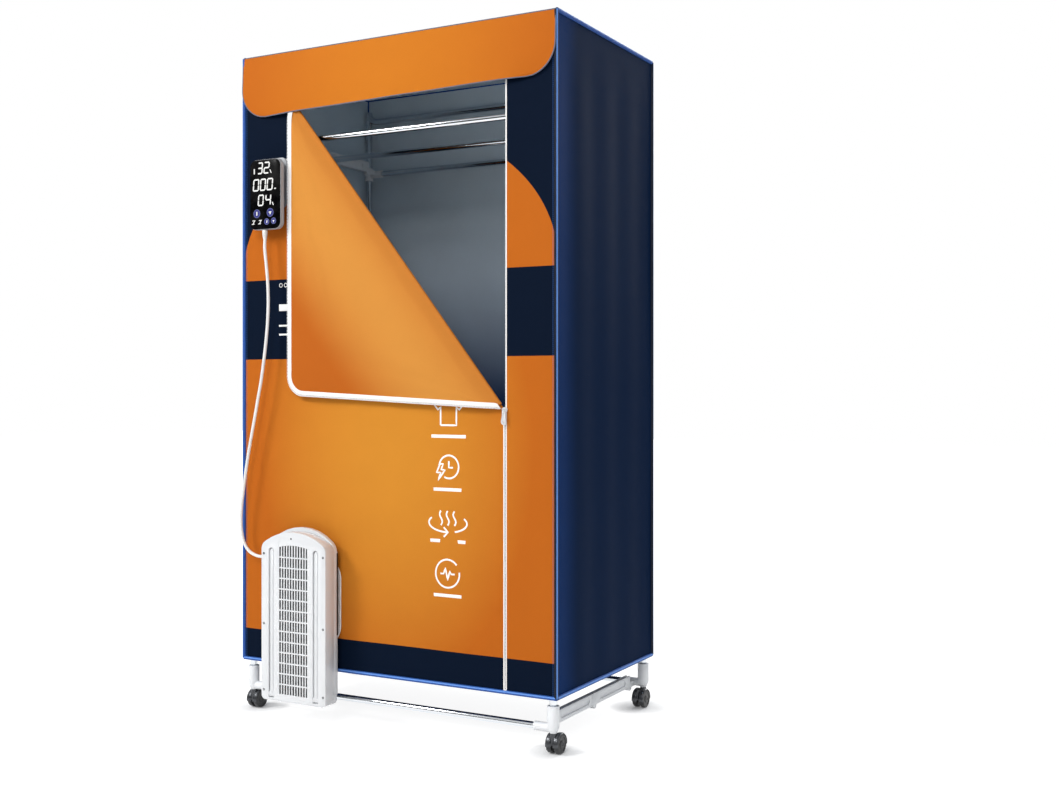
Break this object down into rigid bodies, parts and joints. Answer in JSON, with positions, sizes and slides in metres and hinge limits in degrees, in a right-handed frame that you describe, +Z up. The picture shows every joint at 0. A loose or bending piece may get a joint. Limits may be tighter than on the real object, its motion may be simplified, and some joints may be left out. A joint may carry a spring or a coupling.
{
  "type": "drying cabinet",
  "caption": "Folding fabric clothes-drying cabinet: tube frame on casters, zipped cloth cover, hung blower host with a wired controller.",
  "frame": {"origin": "on the floor, under the middle of the whole object's box", "axes": "+Z up, +X to the right seen from the front, the door and the blower host face -Y"},
  "size_m": [0.8, 0.535, 1.475],
  "materials": {
    "tube_chrome": "bright plated steel tube",
    "white_plastic": "satin moulded white plastic",
    "gloss_white": "glossy moulded white plastic",
    "dark_plastic": "dark grey moulded hood",
    "caster_tread": "hard dark wheel",
    "printed_cloth": "printed polyester, orange field on navy",
    "navy_cloth": "navy polyester",
    "orange_cloth": "orange polyester",
    "white_tape": "woven white tape",
    "slider_metal": "white-coated zinc",
    "heater_fins": "plain fins",
    "black_plastic": "moulded black plastic",
    "grey_plastic": "satin grey plastic",
    "black_glass": "black glossy display window",
    "cord_white": "smooth white cord sheath"
  },
  "bodies": {
    "front_frame": {"post_front_left": "tube_chrome", "post_front_right": "tube_chrome", "base_socket_front_left": "white_plastic", "base_socket_front_right": "white_plastic", "base_rail_front": "tube_chrome", "shelf_rail_front": "tube_chrome", "shelf_collar_front_left": "white_plastic", "shelf_collar_front_right": "white_plastic", "top_rail_front": "tube_chrome", "cover_front": "printed_cloth", "cover_left": "navy_cloth", "cover_right": "navy_cloth", "cover_roof": "navy_cloth", "cover_floor": "navy_cloth", "valance": "orange_cloth", "door_flap": "orange_cloth", "port_frame": "white_tape", "window_frame": "white_tape", "zip_chain": "white_tape", "host_front_cover": "gloss_white", "host_rear_shell": "gloss_white", "heater_core": "heater_fins", "fan_motor": "black_plastic", "controller_case": "grey_plastic", "controller_glass": "black_glass", "controller_cradle": "grey_plastic", "cord": "cord_white", "strain_relief": "cord_white"},
    "base_front_links": {"base_link_front_left": "white_plastic", "base_link_front_right": "white_plastic"},
    "base_rear_links": {"base_link_rear_left": "white_plastic", "base_link_rear_right": "white_plastic"},
    "shelf_front_links": {"shelf_link_front_left": "white_plastic", "shelf_link_front_right": "white_plastic", "hanging_rail": "tube_chrome"},
    "shelf_rear_links": {"shelf_link_rear_left": "white_plastic", "shelf_link_rear_right": "white_plastic"},
    "rear_frame": {"post_rear_left": "tube_chrome", "post_rear_right": "tube_chrome", "base_socket_rear_left": "white_plastic", "base_socket_rear_right": "white_plastic", "base_rail_rear": "tube_chrome", "shelf_rail_rear": "tube_chrome", "shelf_collar_rear_left": "white_plastic", "shelf_collar_rear_right": "white_plastic", "top_rail_rear": "tube_chrome", "cover_back": "navy_cloth"},
    "caster_front_left": {"caster_fork_front_left": "dark_plastic"},
    "caster_front_right": {"caster_fork_front_right": "dark_plastic"},
    "caster_rear_left": {"caster_fork_rear_left": "dark_plastic"},
    "caster_rear_right": {"caster_fork_rear_right": "dark_plastic"},
    "wheels_front_left": {"caster_wheels_front_left": "caster_tread"},
    "wheels_front_right": {"caster_wheels_front_right": "caster_tread"},
    "wheels_rear_left": {"caster_wheels_rear_left": "caster_tread"},
    "wheels_rear_right": {"caster_wheels_rear_right": "caster_tread"},
    "slider": {"zip_slider": "slider_metal"},
    "pull": {"zip_pull": "slider_metal"},
    "fan": {"fan_rotor": "black_plastic"},
    "leg_left": {"stand_leg_left": "gloss_white"},
    "leg_right": {"stand_leg_right": "gloss_white"}
  },
  "joints": [
    {"name": "base_front_fold", "type": "hinge", "parent": "front_frame", "child": "base_front_links", "pos_m": [0, -0.1535, 0.048], "axis": [1, 0, 0], "range_deg": [0, 80]},
    {"name": "base_rear_fold", "type": "hinge", "parent": "base_front_links", "child": "base_rear_links", "pos_m": [0, 0.03, 0.048], "axis": [1, 0, 0], "range_deg": [-160, 0]},
    {"name": "frame_fold", "type": "hinge", "parent": "base_rear_links", "child": "rear_frame", "pos_m": [0, 0.2135, 0.048], "axis": [1, 0, 0], "range_deg": [0, 80], "deforming": ["cover_left", "cover_right", "cover_roof", "cover_floor"]},
    {"name": "shelf_front_fold", "type": "hinge", "parent": "front_frame", "child": "shelf_front_links", "pos_m": [0, -0.1535, 1.278], "axis": [1, 0, 0], "range_deg": [0, 80]},
    {"name": "shelf_rear_fold", "type": "hinge", "parent": "shelf_front_links", "child": "shelf_rear_links", "pos_m": [0, 0.03, 1.278], "axis": [1, 0, 0], "range_deg": [-160, 0]},
    {"name": "caster_front_left_swivel", "type": "hinge", "parent": "front_frame", "child": "caster_front_left", "pos_m": [-0.385, -0.1915, 0.045], "axis": [0, 0, 1], "continuous": true},
    {"name": "caster_front_right_swivel", "type": "hinge", "parent": "front_frame", "child": "caster_front_right", "pos_m": [0.385, -0.1915, 0.045], "axis": [0, 0, 1], "continuous": true},
    {"name": "caster_rear_left_swivel", "type": "hinge", "parent": "rear_frame", "child": "caster_rear_left", "pos_m": [-0.385, 0.2515, 0.045], "axis": [0, 0, 1], "continuous": true},
    {"name": "caster_rear_right_swivel", "type": "hinge", "parent": "rear_frame", "child": "caster_rear_right", "pos_m": [0.385, 0.2515, 0.045], "axis": [0, 0, 1], "continuous": true},
    {"name": "wheels_front_left_roll", "type": "hinge", "parent": "caster_front_left", "child": "wheels_front_left", "pos_m": [-0.385, -0.1795, 0.019], "axis": [1, 0, 0], "continuous": true},
    {"name": "wheels_front_right_roll", "type": "hinge", "parent": "caster_front_right", "child": "wheels_front_right", "pos_m": [0.385, -0.1795, 0.019], "axis": [1, 0, 0], "continuous": true},
    {"name": "wheels_rear_left_roll", "type": "hinge", "parent": "caster_rear_left", "child": "wheels_rear_left", "pos_m": [-0.385, 0.2395, 0.019], "axis": [1, 0, 0], "continuous": true},
    {"name": "wheels_rear_right_roll", "type": "hinge", "parent": "caster_rear_right", "child": "wheels_rear_right", "pos_m": [0.385, 0.2395, 0.019], "axis": [1, 0, 0], "continuous": true},
    {"name": "zip_slide", "type": "slide", "parent": "front_frame", "child": "slider", "axis": [0, 0, 1], "range_m": [-0.55, 0.64]},
    {"name": "zip_pull_swing", "type": "hinge", "parent": "slider", "child": "pull", "pos_m": [0.2835, -0.2123, 0.6805], "axis": [-1, 0, 0], "range_deg": [0, 150]},
    {"name": "fan_spin", "type": "hinge", "parent": "front_frame", "child": "fan", "pos_m": [-0.21, -0.23, 0.263], "axis": [0, 1, 0], "continuous": true},
    {"name": "leg_left_fold", "type": "hinge", "parent": "front_frame", "child": "leg_left", "pos_m": [-0.2705, -0.2605, 0.06], "axis": [1, 0, 0], "range_deg": [0, 90]},
    {"name": "leg_right_fold", "type": "hinge", "parent": "front_frame", "child": "leg_right", "pos_m": [-0.1495, -0.2605, 0.06], "axis": [1, 0, 0], "range_deg": [0, 90]}
  ],
  "couplings": [
    {"joint": "base_front_fold", "follows": "frame_fold", "ratio": 1},
    {"joint": "base_rear_fold", "follows": "frame_fold", "ratio": -2},
    {"joint": "shelf_front_fold", "follows": "frame_fold", "ratio": 1},
    {"joint": "shelf_rear_fold", "follows": "frame_fold", "ratio": -2}
  ]
}
